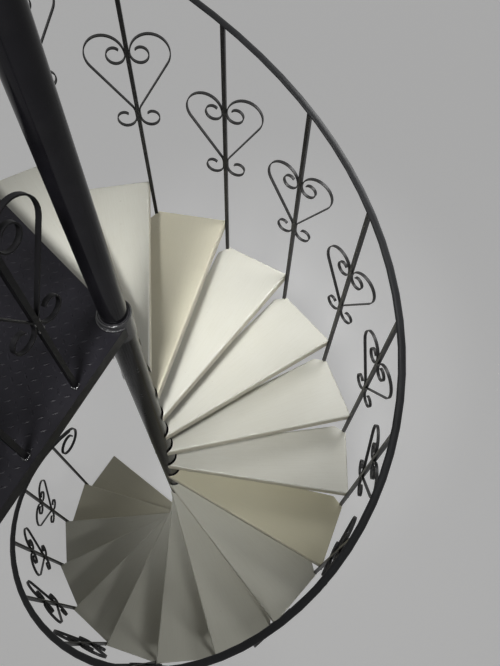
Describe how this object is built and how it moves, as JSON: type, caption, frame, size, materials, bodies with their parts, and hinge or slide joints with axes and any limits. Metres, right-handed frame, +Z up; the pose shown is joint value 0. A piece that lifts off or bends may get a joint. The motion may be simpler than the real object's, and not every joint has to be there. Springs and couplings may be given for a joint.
{
  "type": "spiral staircase",
  "caption": "Spiral staircase with a round steel column, wedge treads, heart scroll balusters, a helical handrail and a corner landing.",
  "frame": {"origin": "centre of the underside of the floor flange, on the column's axis at finished floor level", "axes": "+Z up along the column, -X along the landing's guarded edge away from the column, +Y towards the back of the landing"},
  "size_m": [1.8557, 1.8374, 4.492],
  "materials": {
    "column_paint": "gloss black paint on steel tube",
    "bracket_paint": "black paint on steel plate",
    "baluster_paint": "satin black paint on wrought steel",
    "rail_paint": "satin dark grey paint on half-round steel bar",
    "tread_paint": "cream satin paint on timber",
    "plate_paint": "gloss black paint on chequered steel plate"
  },
  "bodies": {
    "root": {"base_flange": "column_paint", "column": "column_paint", "column_cap": "column_paint", "spacer_sleeves": "column_paint", "tread_brackets": "bracket_paint", "tread_01": "tread_paint", "tread_02": "tread_paint", "tread_03": "tread_paint", "tread_04": "tread_paint", "tread_05": "tread_paint", "tread_06": "tread_paint", "tread_07": "tread_paint", "tread_08": "tread_paint", "tread_09": "tread_paint", "tread_10": "tread_paint", "tread_11": "tread_paint", "tread_12": "tread_paint", "tread_13": "tread_paint", "tread_14": "tread_paint", "tread_15": "tread_paint", "tread_16": "tread_paint", "tread_17": "tread_paint", "baluster_01": "baluster_paint", "baluster_02": "baluster_paint", "baluster_03": "baluster_paint", "baluster_04": "baluster_paint", "baluster_05": "baluster_paint", "baluster_06": "baluster_paint", "baluster_07": "baluster_paint", "baluster_08": "baluster_paint", "baluster_09": "baluster_paint", "baluster_10": "baluster_paint", "baluster_11": "baluster_paint", "baluster_12": "baluster_paint", "baluster_13": "baluster_paint", "baluster_14": "baluster_paint", "baluster_15": "baluster_paint", "baluster_16": "baluster_paint", "baluster_17": "baluster_paint", "handrail": "rail_paint", "landing_collar": "column_paint", "landing_plate": "plate_paint", "landing_frame": "bracket_paint", "guard_balusters": "baluster_paint", "guard_rail": "rail_paint"}
  },
  "joints": []
}
